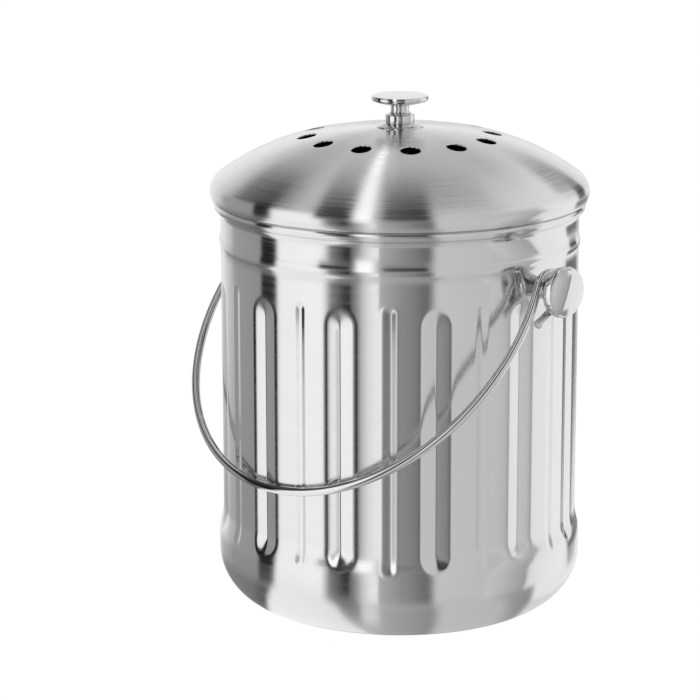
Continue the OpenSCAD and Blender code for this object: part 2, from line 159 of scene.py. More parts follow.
class Tree:
    """A node tree that is written as expressions."""

    def __init__(self, owner):
        owner.use_nodes = True
        self.nodes = owner.node_tree.nodes
        self.links = owner.node_tree.links
        self.nodes.clear()

    def add(self, kind, settings=None, values=None):
        """Adds a node of a kind, makes its settings, then sets or links its input sockets."""
        node = self.nodes.new(kind)
        for name, value in (settings or {}).items():
            if name == "stops":
                self.set_stops(node.color_ramp, value)
            else:
                setattr(node, name, value)
        pairs = values.items() if isinstance(values, dict) else enumerate(values or [])
        for key, value in pairs:
            if isinstance(value, Wire):
                self.links.new(value.socket, node.inputs[key])
            else:
                node.inputs[key].default_value = value
        return Added(self, node)

    def set_stops(self, ramp, stops):
        """Gives a colour ramp its stops, each a place from 0 to 1 with a grey level or a colour."""
        while len(ramp.elements) > 1:
            ramp.elements.remove(ramp.elements[-1])
        for i, (place, level) in enumerate(stops):
            stop = ramp.elements[0] if i == 0 else ramp.elements.new(place)
            stop.position = place
            stop.color = (*level, 1) if isinstance(level, tuple) else (level, level, level, 1)

    def position(self):
        """The point's place in the piece's own coordinates, as three wires."""
        coords = self.add("ShaderNodeTexCoord").out("Object")
        split = self.add("ShaderNodeSeparateXYZ", None, [coords])
        return [split.out(name) for name in "XYZ"]

    def noise(self, x, y, z, detail=2.0):
        """Noise between about 0 and 1 at a point made from three values."""
        point = self.add("ShaderNodeCombineXYZ", None, [x, y, z]).out()
        node = self.add("ShaderNodeTexNoise", {"noise_dimensions": "3D"},
                        {"Vector": point, "Scale": 1.0, "Detail": detail})
        return node.out(0)

    def hypot(self, a, b):
        """Length of the vector (a, b)."""
        return (a * a + b * b).math("SQRT")


# %% [markdown]
# ## The finishes
# Brushed steel is a mirror with fine scratches that all run one way. Round the pail they follow the
# wall, on the lid they circle the knob, and on turned parts they circle the axis of the lathe. Noise
# that is squeezed across the scratches and stretched along them gives their lines. It varies the
# roughness and, through a faint bump, the shape. The anisotropy itself is constant, so it sits on the
# shader's own socket.

# %% Steel
STEEL_COLOR = (0.76, 0.76, 0.755)
DULL_STEEL_COLOR = (0.6, 0.6, 0.6)
STREAK_MM = 60.0
CLOUDS_PER_M = 18.0
CLOUD_ROUGHNESS = 0.06
CLOUD_TINT = 0.05
SCRATCH_DEPTH = 0.02
CROSS_SCRATCH = 0.25


def steel(name, rough, spread, lines, lines_per_mm, bump, scratch,
          stretch=0.6, color=STEEL_COLOR, axis="Z"):
    """Brushed steel whose scratches circle the axis. The noise is squeezed across the scratches, to
    lines_per_mm, and they change with the "height" or with the "radius", as scratch says. Roughness is
    rough + spread * (grain - 0.5), the colour varies by the share called lines, and soft clouds add a
    little to both. stretch draws the highlight out across the scratches."""
    material = bpy.data.materials.new(name)
    tree = Tree(material)
    x, y, z = tree.position()
    along, across_a, across_b = (z, x, y) if axis == "Z" else (x, y, z)
    radius = tree.hypot(across_a, across_b)
    line = {"height": along, "radius": radius}[scratch] * (lines_per_mm / MM)
    slow = 1.0 / (STREAK_MM * MM)
    grain = tree.noise(line, across_a * slow, across_b * slow, 3.0)
    cloud = tree.noise(along * CLOUDS_PER_M, across_a * CLOUDS_PER_M, across_b * CLOUDS_PER_M, 2.0)
    roughness = (grain - 0.5) * spread + (cloud - 0.5) * CLOUD_ROUGHNESS + rough
    tint = (cloud - 0.5) * CLOUD_TINT + (grain - 0.5) * lines + 1.0
    base = tree.add("ShaderNodeVectorMath", {"operation": "SCALE"}, {"Vector": color, "Scale": tint})
    relief = tree.add("ShaderNodeBump", None, {
        "Strength": bump, "Distance": SCRATCH_DEPTH * MM, "Height": grain})
    shader = tree.add("ShaderNodeBsdfPrincipled", None, {
        "Base Color": base.out(), "Metallic": 1.0, "Roughness": roughness, "Normal": relief.out()})
    if stretch:
        shader.node.inputs["Anisotropic"].default_value = stretch
        shader.node.inputs["Anisotropic Rotation"].default_value = CROSS_SCRATCH
        tangent = tree.add("ShaderNodeTangent", {"direction_type": "RADIAL", "axis": axis})
        tree.links.new(tangent.node.outputs[0], shader.node.inputs["Tangent"])
    tree.add("ShaderNodeOutputMaterial", None, [shader.out()])
    return material


pail_steel = steel("pail_steel", rough=0.15, spread=0.2, lines=0.04, lines_per_mm=1.3, bump=0.15,
                   scratch="height", stretch=0.85)
lid_steel = steel("lid_steel", rough=0.2, spread=0.34, lines=0.2, lines_per_mm=2.0, bump=0.45,
                  scratch="radius", stretch=0.92)
knob_steel = steel("knob_steel", rough=0.05, spread=0.03, lines=0.02, lines_per_mm=4.0, bump=0.1,
                   scratch="radius")
post_steel = steel("post_steel", rough=0.06, spread=0.04, lines=0.02, lines_per_mm=4.0, bump=0.1,
                   scratch="radius", axis="X")
wire_steel = steel("wire_steel", rough=0.06, spread=0.03, lines=0.02, lines_per_mm=2.0, bump=0.1,
                   scratch="radius", stretch=0.0)
hardware_steel = steel("hardware_steel", rough=0.28, spread=0.12, lines=0.1, lines_per_mm=3.0, bump=0.3,
                       scratch="radius", stretch=0.0, color=DULL_STEEL_COLOR)
STEELS = [pail_steel, lid_steel, knob_steel, post_steel, wire_steel, hardware_steel]
print("steels:", [made.name for made in STEELS])

# %% [markdown]
# The filter parts are moulded in black plastic with a fine spark-eroded grain, and the carbon pad is an
# open felt: dark, quite matt, and loose on its surface.

# %% Plastic and felt
FINE_SHARE = 0.7
COARSE_TIMES = 9
GRAIN_ROUGHNESS = 0.2


def grained(name, dark, light, rough, grains_per_m, bump, depth_mm):
    """Matt material whose grain comes from two sizes of noise, which drive colour and bump together."""
    material = bpy.data.materials.new(name)
    tree = Tree(material)
    x, y, z = tree.position()
    lumps_per_m = grains_per_m / COARSE_TIMES
    fine = tree.noise(x * grains_per_m, y * grains_per_m, z * grains_per_m, 4.0)
    coarse = tree.noise(x * lumps_per_m, y * lumps_per_m, z * lumps_per_m, 2.0)
    mix = fine * FINE_SHARE + coarse * (1 - FINE_SHARE)
    color = tree.add("ShaderNodeValToRGB", {"stops": [(0.3, dark), (0.7, light)]}, [mix]).out("Color")
    relief = tree.add("ShaderNodeBump", None, {
        "Strength": bump, "Distance": depth_mm * MM, "Height": mix})
    shader = tree.add("ShaderNodeBsdfPrincipled", None, {
        "Base Color": color, "Roughness": fine * GRAIN_ROUGHNESS + rough, "Normal": relief.out()})
    tree.add("ShaderNodeOutputMaterial", None, [shader.out()])
    return material


black_plastic = grained("black_plastic", (0.012, 0.012, 0.013), (0.022, 0.022, 0.024),
                        rough=0.4, grains_per_m=2500.0, bump=0.3, depth_mm=0.05)
carbon_felt = grained("carbon_felt", (0.006, 0.006, 0.006), (0.03, 0.03, 0.032),
                      rough=0.75, grains_per_m=900.0, bump=0.9, depth_mm=0.4)
print("matt finishes:", black_plastic.name, carbon_felt.name)

# %% [markdown]
# ## Surfaces on a grid
# Most pieces here are turned, spun or drawn, so they are an outline carried round an axis. One helper
# joins a grid of points with faces, another merges the points at poles, and the sign of the enclosed
# volume tells whether the faces look outward.

# %% Grid helpers
MERGE = 0.0005
STEPS = 128


def arc(center, radius, start, end, steps):
    """Points at center + radius * (cos a, sin a), with a going evenly from start to end in degrees."""
    angle = np.radians(np.linspace(start, end, steps + 1))
    return np.stack([center[0] + radius * np.cos(angle), center[1] + radius * np.sin(angle)], -1)


def grid_faces(rows, columns, wrap):
    """Quads between neighbouring points of a grid; wrap joins the last column to the first."""
    i = np.arange(rows - 1)[:, None]
    j = np.arange(columns if wrap else columns - 1)[None, :]
    k = (j + 1) % columns
    quads = np.stack(np.broadcast_arrays(
        i * columns + j, i * columns + k, (i + 1) * columns + k, (i + 1) * columns + j), -1)
    return quads.reshape(-1, 4)


def outward(points, faces):
    """Turns all faces round if the volume they enclose, summed over their triangles, is negative."""
    corners = points[faces]
    a, b, c = corners[:, 0], corners[:, 1:-1], corners[:, 2:]
    volume = (a[:, None] * np.cross(b, c)).sum()
    return faces[:, ::-1] if volume < 0 else faces


def piece(name, points, faces, material, body, node, slot):
    """Makes a mesh from points in millimetres, closes its seams and poles, and hands it to the frame."""
    mesh = bpy.data.meshes.new(name)
    mesh.from_pydata((points * MM).tolist(), [], faces.tolist())
    closing = bmesh.new()
    closing.from_mesh(mesh)
    bmesh.ops.remove_doubles(closing, verts=closing.verts, dist=MERGE * MM)
    bmesh.ops.dissolve_degenerate(closing, edges=closing.edges, dist=MERGE / 5 * MM)
    closing.to_mesh(mesh)
    closing.free()
    mesh.polygons.foreach_set("use_smooth", np.ones(len(mesh.polygons), bool))
    mesh.materials.append(material)
    made = bpy.data.objects.new(name, mesh)
    bpy.context.scene.collection.objects.link(made)
    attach(made, body)
    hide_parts(node)
    print(name, len(mesh.polygons), "faces")
    return made


def turned(profile, steps=STEPS, axis="Z"):
    """Carries an outline of (radius, height) points round an axis: x = r cos a, y = r sin a, z = h.
    axis "X" lays the same shape along the posts' axis, which runs along X at the height PIVOT_Z."""
    angle = np.linspace(0, 2 * np.pi, steps, endpoint=False)
    r, h = profile[:, :1], profile[:, 1:]
    flat = [r * np.cos(angle), r * np.sin(angle), h + 0 * angle]
    if axis == "X":
        flat = [flat[2], flat[0], flat[1] + PIVOT_Z]
    points = np.stack(flat, -1).reshape(-1, 3)
    return points, outward(points, grid_faces(len(profile), steps, True))


def crown(radius, rise, top, steps=8):
    """Arc of a shallow crown from its rim to the axis: radius^2 + (curve - rise)^2 = curve^2."""
    curve = (radius ** 2 + rise ** 2) / (2 * rise)
    half = math.degrees(math.asin(radius / curve))
    return arc((0, top - curve), curve, 90 - half, 90, steps)


# %% [markdown]
# ## The pail's skin
# The real wall is one drawn sheet. Starting from the flat bottom its outline runs round a wide corner,
# up a short band, in by two millimetres to the straight wall, over a bead, out along a cove and round
# the rolled rim, and then all the way back down inside. Twenty-four flutes are pressed into the wall, a
# wide and a narrow one in turn. A subdivided cylinder with pushed faces could hold them, but its mirror
# would show every face. So a flute is a formula, a groove around a straight spine: its depth depends only
# on the distance to the spine, which rounds both of its ends by itself.

# %% Pail outline
PAIL_T = 0.8
BAND_STEP = 2.0
BAND_TOP = 32.0
BAND_DRAW = 14.5
CORNER_R = 25.5
BASE_RINGS = (0, 20, 40, 55)
BAND_ROW = 28.8
BEAD_DROP = 19.3
BEAD_Z = RIM_TOP - BEAD_DROP
BEAD_H = 6.0
BEAD_OUT = 0.75
ROLL_R = 1.95
ROLL_OUT = 3.15
ROLL_CENTER = (WALL_R + ROLL_OUT - ROLL_R, RIM_TOP - ROLL_R)
ROLL_START, ROLL_END = -42, 222
COVE_H = 4.1
CREASE_IN = 0.45
CREASE_Z = RIM_TOP - 2 * ROLL_R


def bend(start, gain, rise, steps, side):
    """Arc that leaves the vertical at start and gains some radius over a rise: it gains R * (1 - cos)
    over R * sin, and (1 - cos) / sin is the tangent of half its turn. side is 1 outward, -1 inward."""
    turn = 2 * math.atan(gain / rise)
    radius = rise / math.sin(turn)
    a = turn * np.arange(steps + 1)[:, None] / steps
    return np.array(start) + radius * np.concatenate([side * (1 - np.cos(a)), np.sin(a)], -1)


def wall_line(t, corner, ogee, bead):
    """Outline of the sheet, moved inward by t, from the axis at the bottom to the crease under the rim."""
    band_r = WALL_R + BAND_STEP
    curve = ((BEAD_H / 2) ** 2 + BEAD_OUT ** 2) / (2 * BEAD_OUT)
    half = math.degrees(math.asin(BEAD_H / 2 / curve))
    low = bend((band_r - t, BAND_TOP), BAND_STEP / 2, BAND_DRAW / 2, ogee, -1)
    top = np.array((WALL_R - t, BAND_TOP + BAND_DRAW))
    high = top - (low[::-1] - low[0])
    return np.concatenate([
        [(ring, t) for ring in BASE_RINGS],
        arc((band_r - CORNER_R, CORNER_R), CORNER_R - t, -90, 0, corner),
        [(band_r - t, BAND_ROW)],
        low, high[1:],
        arc((WALL_R - t + BEAD_OUT - curve, BEAD_Z), curve, -half, half, bead),
        bend((WALL_R - t, CREASE_Z - COVE_H), ROLL_OUT - CREASE_IN, COVE_H, 8, 1),
    ])


def with_rows(line, heights):
    """Adds points at the given heights to a wall outline, on the straight lines between its points."""
    rising = line[np.searchsorted(line[:, 1], BAND_ROW):]
    radii = np.interp(heights, rising[:, 1], rising[:, 0])
    joined = np.concatenate([line, np.stack([radii, heights], -1)])
    start = len(line) - len(rising)
    head, tail = joined[:start], joined[start:]
    return np.concatenate([head, tail[np.argsort(tail[:, 1], kind="stable")]])


print("outline of", len(wall_line(0, 16, 5, 10)), "points")

# %% [markdown]
# A flute has a half width, a depth, and a soft floor and lip, given as shares of the half width. A wide
# flute also scoops the top of the band flat, and a narrow one has a ridge around it and is a little
# deeper near its top. Pressed flutes are never quite evenly spaced: the drift lists, for some angles
# round the pail, by how many degrees the wall is shifted there.

# %% Flute sizes
FLUTE_PITCH = 30.0
FLUTE_PHASE = -4.2
FLUTE_BOTTOM = 34.5
FLUTE_DROP = 34.0
FLUTE_TOP = RIM_TOP - FLUTE_DROP
RIDGE_W = 1.3
WIDE = {"at": FLUTE_PHASE, "half": 9.0, "depth": 1.42, "floor": 0.05, "lip": 0.44, "scoop": 1, "ridge": 0.0,
        "deeper": 0.0}
NARROW = {"at": FLUTE_PHASE + FLUTE_PITCH / 2, "half": 3.4, "depth": 0.39, "floor": 0.15, "lip": 0.38,
          "scoop": 0, "ridge": 0.06, "deeper": 0.38}
DEEPER_H = 22.0
END_STRETCH = 1.12
DRIFT = [(-124, 0), (-94, 1.0), (-79, 1.2), (-64, -0.5), (-49, 0.5), (-34, -0.3), (-4, -0.9), (11, -1.4),
         (26, -3.0), (60, 0)]
print("flutes from", FLUTE_BOTTOM, "to", round(FLUTE_TOP, 2))

# %% Groove of a flute


def groove(q, floor, lip):
    """Depth from 1 in the middle to 0 at the edge q = 1. The slope grows from nothing over the floor,
    stays even, and dies out over the lip by 3u^2 - 2u^3; its running sum, ending at 1, is the depth."""
    s = np.linspace(0, 1, 401)
    u = np.clip((1 - s) / lip, 0, 1)
    slope = np.clip(s / floor, 0, 1) * u ** 2 * (3 - 2 * u)
    depth = np.cumsum(slope)
    return 1 - np.interp(np.clip(q, 0, 1), s, depth / depth[-1])


def flute_reach(angle, height, flute):
    """A point's distance to the flute's spine, over the flute's half width; past the spine's ends a
    height counts less, so that the ends are a little longer than half circles."""
    turn = (angle - flute["at"] + FLUTE_PITCH / 2) % FLUTE_PITCH - FLUTE_PITCH / 2
    aside = np.radians(turn) * WALL_R
    reach = flute["half"] * END_STRETCH
    low, high = FLUTE_BOTTOM + reach, FLUTE_TOP - reach
    beyond = (np.maximum(low - height, 0) + np.maximum(height - high, 0)) / END_STRETCH
    return np.hypot(aside, beyond) / flute["half"]


print("share of the depth half-way out:", round(float(groove(0.5, WIDE["floor"], WIDE["lip"])), 2))

# %% [markdown]
# The grid's rows and columns crowd where the wall bends, at the flutes' ends, floors and lips, so that
# few faces go to the plain wall between them.

# %% Rows and columns of the pail's grid
PLAIN_COLUMNS = (8.5, 21.5)
LOW_ROWS = np.concatenate([np.arange(33.5, 46, 0.75), [47, 48.5, 50.5, 60, 80, 100, 120, 140]])
HIGH_ROWS = np.concatenate([[148, 150, 151.5], np.arange(152.5, 162, 0.75), [164, 168]])


def around():
    """Angles round the pail: in each pitch they crowd at the floors and lips of the two flutes."""
    wide = WIDE["half"] * np.array([0, 0.05, 0.1, 0.2, 0.35, 0.5, 0.6, 0.7, 0.8, 0.9, 1.0, 1.1])
    narrow = NARROW["half"] * np.array([0, 0.15, 0.3, 0.5, 0.65, 0.8, 0.9, 1.0, 1.1, 1.25, 1.5])
    sides = [np.concatenate([-a[:0:-1], a]) for a in (wide, narrow)]
    to_degrees = 180 / np.pi / WALL_R
    one = np.concatenate([sides[0] * to_degrees, sides[1] * to_degrees + FLUTE_PITCH / 2])
    one = np.sort(np.concatenate([one, PLAIN_COLUMNS]))
    turns = np.arange(0, 360, FLUTE_PITCH)
    return np.sort((FLUTE_PHASE + turns[:, None] + one[None, :]).ravel())


print(len(LOW_ROWS) + len(HIGH_ROWS), "rows and", len(around()), "columns on the wall")

# %% Pail skin


def pail_skin():
    """Grid of outline rows by angles. A flute moves a point in by share * (depth + scoop * (r - wall
    radius)), and the metal that a narrow flute pushes aside stands up around it as a low ridge, which
    falls off by (1 - u^2)^2 on both sides of the lip."""
    outside = with_rows(wall_line(0, 16, 5, 10), np.concatenate([LOW_ROWS, HIGH_ROWS]))
    inside = with_rows(wall_line(PAIL_T, 12, 3, 6), np.concatenate([LOW_ROWS[::2], HIGH_ROWS[::2]]))
    roll = arc(ROLL_CENTER, ROLL_R, ROLL_START, ROLL_END, 22)
    rows = np.concatenate([outside, roll, inside[::-1]])
    skin = np.concatenate([np.zeros(len(outside) + len(roll)), np.full(len(inside), PAIL_T)])[:, None]
    angle = around()
    r = np.broadcast_to(rows[:, :1], (len(rows), len(angle))).copy()
    z = np.broadcast_to(rows[:, 1:], r.shape)
    for flute in (WIDE, NARROW):
        reach = flute_reach(angle[None, :], z, flute)
        on_wall = (z < BEAD_Z - BEAD_H) * (r > WALL_R / 2)
        share = groove(reach, flute["floor"], flute["lip"]) * on_wall
        share = share * (1 + flute["deeper"] * np.clip((z - FLUTE_TOP) / DEEPER_H + 1, 0, 1))
        past_lip = (reach - 1) * flute["half"] / RIDGE_W
        ridge = np.maximum(1 - past_lip ** 2, 0) ** 2 * on_wall
        r -= share * (flute["depth"] + flute["scoop"] * np.maximum(r + skin - WALL_R, 0))
        r += ridge * flute["ridge"]
    wrapped = (angle + 180) % 360 - 180
    turn = np.radians(angle + np.interp(wrapped, *np.transpose(DRIFT)))
    points = np.stack([r * np.cos(turn), r * np.sin(turn), z], -1).reshape(-1, 3)
    return points, outward(points, grid_faces(len(rows), len(angle), True))


piece("pail_skin", *pail_skin(), pail_steel, "pail", "pail_shell", "pail_steel")

# %% [markdown]
# ## The lid
# The dome is a piece of a large sphere that turns over a rounded edge and tucks in above the rim. Its
# vents are true holes. A Boolean would cut them, but it leaves thin faces that shade badly. So around
# each one a square patch of the dome is gridded from the hole's edge out to the patch's border, and the
# borders share their points with the rings of the rest of the dome, so that merging them leaves one
# sheet. The Solidify modifier then gives it the sheet's thickness.

# %% Lid dome
DOME_R = 230.0
SHOULDER_R = 107.0
SHOULDER_AT = 40.5
LID_T = 0.8
EDGE_ROUND = 8.2
EDGE_TUCK = 10.0
EDGE_H = 3.8
EDGE_X = LID_R - EDGE_ROUND
EDGE_Z = SEAT + EDGE_H
SHOULDER_X = (DOME_R - SHOULDER_R) * SHOULDER_AT / DOME_R
SHOULDER_Z = EDGE_Z - math.sqrt((SHOULDER_R - EDGE_ROUND) ** 2 - (EDGE_X - SHOULDER_X) ** 2)
DOME_Z = SHOULDER_Z - math.sqrt((DOME_R - SHOULDER_R) ** 2 - SHOULDER_X ** 2)
VENTS = 12
VENT_PHASE = -9.64
VENT_D = 9.5
VENT_R = VENT_D / 2
VENT_RING = 43.6
VENT_PATCH = 8.0
VENT_SIDE = 16
VENT_ROWS = 9
VENT_CROWDING = 1.2


def dome_height(r):
    """Height over a radius: z = center + sqrt(R^2 - (r - x)^2), with one arc for the middle of the
    dome and a tighter one for its shoulder, which meet without a kink."""
    middle = DOME_Z + np.sqrt(DOME_R ** 2 - r ** 2)
    shoulder = SHOULDER_Z + np.sqrt(SHOULDER_R ** 2 - np.maximum(r - SHOULDER_X, 0) ** 2)
    return np.where(r < SHOULDER_AT, middle, shoulder)


def dome_rings():
    """Outlines of the dome inside and outside the ring of vent patches, as (radius, height)."""
    meet = math.degrees(math.atan2(EDGE_Z - SHOULDER_Z, EDGE_X - SHOULDER_X))
    rim_r = SHOULDER_X + SHOULDER_R * math.cos(math.radians(meet))
    inner = np.linspace(0, VENT_RING - VENT_PATCH, 14)
    outer = np.linspace(VENT_RING + VENT_PATCH, rim_r, 14)
    tuck = -math.degrees(math.asin((EDGE_Z - SEAT) / EDGE_TUCK))
    edge_line = np.concatenate([
        arc((EDGE_X, EDGE_Z), EDGE_ROUND, meet, 0, 14)[1:],
        arc((LID_R - EDGE_TUCK, EDGE_Z), EDGE_TUCK, 0, tuck, 8)[1:]])
    inside = np.stack([inner, dome_height(inner)], -1)
    outside = np.concatenate([np.stack([outer, dome_height(outer)], -1), edge_line])
    return inside, outside


print("dome rises", round(float(dome_height(0)) - EDGE_Z, 2), "over its edge")

# %% Vents and lid skin


def vent_patch(middle):
    """Grid from a round hole to the border of its patch, point = hole + t * (border - hole). The rows
    crowd at the hole, because t is the crowding power of an even step."""
    half_turn = math.pi / VENTS
    side = np.linspace(-1, 1, VENT_SIDE + 1)[:-1]
    across = np.concatenate([np.ones_like(side), -side, -np.ones_like(side), side])
    along = np.concatenate([side, np.ones_like(side), -side, -np.ones_like(side)])
    border_r = VENT_RING + VENT_PATCH * across
    border_a = middle + half_turn * along
    border = np.stack([border_r * np.cos(border_a), border_r * np.sin(border_a)], -1)
    turn = middle + np.arctan2(along * half_turn * VENT_RING, across * VENT_PATCH)
    center = VENT_RING * np.array([math.cos(middle), math.sin(middle)])
    hole = center + VENT_R * np.stack([np.cos(turn), np.sin(turn)], -1)
    t = np.linspace(0, 1, VENT_ROWS)[:, None, None] ** VENT_CROWDING
    flat = hole + t * (border - hole)
    z = dome_height(np.hypot(flat[..., 0], flat[..., 1]))
    return np.concatenate([flat, z[..., None]], -1)


def lid_skin():
    """Joins the inner rings, the vent patches and the outer rings into one list of faces."""
    steps = VENTS * VENT_SIDE
    turn = math.radians(VENT_PHASE) + (np.arange(steps) / VENT_SIDE - 0.5) * 2 * math.pi / VENTS
    parts, faces, count = [], [], 0
    for ring in dome_rings():
        r, z = ring[:, :1], ring[:, 1:]
        grid = np.stack([r * np.cos(turn), r * np.sin(turn), z + 0 * turn], -1)
        parts.append(grid.reshape(-1, 3))
        faces.append(grid_faces(len(ring), steps, True)[:, ::-1] + count)
        count += len(parts[-1])
    for i in range(VENTS):
        grid = vent_patch(math.radians(VENT_PHASE + i * 360 / VENTS))
        parts.append(grid.reshape(-1, 3))
        faces.append(grid_faces(grid.shape[0], grid.shape[1], True)[:, ::-1] + count)
        count += len(parts[-1])
    return np.concatenate(parts), np.concatenate(faces)


lid = piece("lid_skin", *lid_skin(), lid_steel, "lid", "lid_dome", "lid_steel")
sheet = lid.modifiers.new("sheet", "SOLIDIFY")
sheet.thickness = LID_T * MM
sheet.offset = -1.0

# %% [markdown]
# Under the dome a flanged ring rests on the rolled rim and reaches into the pail's mouth. Its sheet has
# rounded ends, because a pressed edge is never sharp.

# %% Locating ring
RING_T = 0.8
RING_DEPTH = 10.0
MOUTH_GAP = 0.6
RING_ROUND = 0.25
SKIRT_R = WALL_R - PAIL_T - MOUTH_GAP
FLANGE_EDGE = edge("lid_locating_ring", 1, Y)


def rounded(outline, radius, steps=4):
    """Rounds the corners of a closed outline: each corner becomes a curve between points that lie one
    radius from it on its two sides, (1-t)^2 a + 2t(1-t) corner + t^2 b."""
    before, after = np.roll(outline, 1, 0), np.roll(outline, -1, 0)
    into = before - outline
    away = after - outline
    a = outline + radius * into / np.linalg.norm(into, axis=1, keepdims=True)
    b = outline + radius * away / np.linalg.norm(away, axis=1, keepdims=True)
    t = np.linspace(0, 1, steps + 1)[None, :, None]
    curve = (1 - t) ** 2 * a[:, None] + 2 * t * (1 - t) * outline[:, None] + t ** 2 * b[:, None]
    return curve.reshape(-1, 2)


def closed(outline):
    """Repeats the first point at the end, so that a turned outline closes on itself."""
    return np.concatenate([outline, outline[:1]])


ring_outline = np.array([
    (SKIRT_R - RING_T, SEAT - RING_DEPTH), (SKIRT_R, SEAT - RING_DEPTH), (SKIRT_R, SEAT),
    (FLANGE_EDGE, SEAT), (FLANGE_EDGE, SEAT + RING_T), (SKIRT_R - RING_T, SEAT + RING_T)])
piece("ring_skin", *turned(closed(rounded(ring_outline, RING_ROUND)), 192), lid_steel,
      "lid", "lid_locating_ring", "lid_steel")

# %% [markdown]
# ## The knob
# Three turned pieces sit on the dome: a thin flange that follows it, a round collar, and the knob with
# its waist and its crowned disc. Each is an outline with rounded corners that is carried round the axis.

# %% Knob sizes
FLANGE_R = edge("knob_flange", 1, X)
COLLAR_Z = edge("knob_collar", 0, Z)
COLLAR_R = edge("knob_collar", 1, X)
WAIST_Z = edge("knob_head", 0, Z)
WAIST_R = 4.3
FLARE = 1.3
FOOT_FLARE = 2.1
COLLAR_ROUND = 0.5
DISC_R = edge("knob_head", 1, X)
DISC_T = 3.6
DISC_CROWN = 0.5
DISC_EDGE = 1.0
DISC_TOP = edge("knob_head", 1, Z)
DISC_Z = DISC_TOP - DISC_T - DISC_CROWN
UNDER_ROUND = 0.4 * DISC_T
print("disc radius", round(DISC_R, 2), "collar radius", round(COLLAR_R, 2))

# %% [markdown]
# The flange is flat beside the collar and then falls away to a thin lip on the dome, so its upper face
# shows the room as a soft rim of light.

# %% Knob flange and collar
FLANGE_STEP = 0.4
FLANGE_FLAT = COLLAR_R + FLANGE_STEP
FLANGE_LIP = 0.25
FLANGE_CURVE = 1.2
flange_r = np.linspace(FLANGE_R, 0, 12)
fall = np.linspace(0, 1, 9)[:, None]
flange_drop = COLLAR_Z - float(dome_height(np.array(FLANGE_R))) - FLANGE_LIP
flange_outline = np.concatenate([
    [(0, COLLAR_Z)],
    np.concatenate([FLANGE_FLAT + (FLANGE_R - FLANGE_FLAT) * fall,
                    COLLAR_Z - flange_drop * fall ** FLANGE_CURVE], -1),
    np.stack([flange_r, dome_height(flange_r)], -1)])
piece("knob_flange_plate", *turned(flange_outline), knob_steel, "lid", "knob_flange", "knob_steel")

collar_outline = np.concatenate([
    [(0, COLLAR_Z)], arc((COLLAR_R - COLLAR_ROUND, COLLAR_Z + COLLAR_ROUND), COLLAR_ROUND, -90, 0, 8),
    arc((COLLAR_R - COLLAR_ROUND, WAIST_Z - COLLAR_ROUND), COLLAR_ROUND, 0, 90, 8), [(0, WAIST_Z)]])
piece("knob_collar_ring", *turned(collar_outline), knob_steel, "lid", "knob_collar", "knob_steel")

# %% Knob disc and waist


def knob_outline():
    """Foot, waist with a flare at both ends, bevelled underside, round rim and crowned top."""
    side_z = DISC_TOP - DISC_CROWN - DISC_EDGE
    return np.concatenate([
        [(0, WAIST_Z)],
        arc((WAIST_R + FOOT_FLARE, WAIST_Z + FOOT_FLARE), FOOT_FLARE, -90, -180, 12),
        arc((WAIST_R + FLARE, DISC_Z - FLARE), FLARE, 180, 90, 10),
        [(DISC_R - 3 * UNDER_ROUND, DISC_Z)],
        arc((DISC_R - UNDER_ROUND, side_z - DISC_EDGE / 5), UNDER_ROUND, -60, 0, 8),
        arc((DISC_R - DISC_EDGE, side_z), DISC_EDGE, 0, 86, 8),
        crown(DISC_R - DISC_EDGE, DISC_CROWN, DISC_TOP, 12)])


piece("knob_disc", *turned(knob_outline()), knob_steel, "lid", "knob_head", "knob_steel")

# %% [markdown]
# ## Posts
# Each side has a sleeve that the bail's hook turns on, and a crowned cap whose stud runs through the
# sleeve, the wall, a washer and a nut. The sleeve's inner end is cut to the curve of the wall: where it
# meets a wall of radius R at a height y it starts at sqrt(R^2 - y^2).

# %% Post sizes
CAP_R = (edge("handle_cap_right", 1, Z) - edge("handle_cap_right", 0, Z)) / 2
CAP_FACE = edge("handle_cap_right", 1, X)
CAP_X = edge("handle_sleeve_right", 1, X)
CAP_ROUND = 0.5
CAP_CROWN = 1.6
CAP_BARREL = 16.0
CHAMFER = 0.3
HOLE_GAP = 0.05
STUD_R = 2.5
STUD_IN = edge("handle_cap_right", 0, X)
SLEEVE_R = (edge("handle_sleeve_right", 1, Z) - edge("handle_sleeve_right", 0, Z)) / 2
print("cap radius", round(CAP_R, 2), "sleeve radius", round(SLEEVE_R, 2))

# %% Caps and sleeves


def cap_outline():
    """From the stud's inner end along the stud, across the cap's back, over its barrelled side to its
    crown. The side is an arc of radius round + (thick / 2 - round) / sin(barrel), which meets the two
    rounded edges without a kink."""
    thick = CAP_FACE - CAP_CROWN - CAP_X
    barrel = math.radians(CAP_BARREL)
    side = CAP_ROUND + (thick / 2 - CAP_ROUND) / math.sin(barrel)
    edge_r = CAP_R - side + (side - CAP_ROUND) * math.cos(barrel)
    return np.concatenate([
        [(0, STUD_IN), (STUD_R - CHAMFER, STUD_IN), (STUD_R, STUD_IN + CHAMFER), (STUD_R, CAP_X)],
        arc((edge_r, CAP_X + CAP_ROUND), CAP_ROUND, -90, -CAP_BARREL, 6),
        arc((CAP_R - side, CAP_X + thick / 2), side, -CAP_BARREL, CAP_BARREL, 10)[1:],
        arc((edge_r, CAP_X + thick - CAP_ROUND), CAP_ROUND, CAP_BARREL, 84, 6)[1:],
        crown(edge_r, CAP_CROWN, CAP_FACE, 10)])


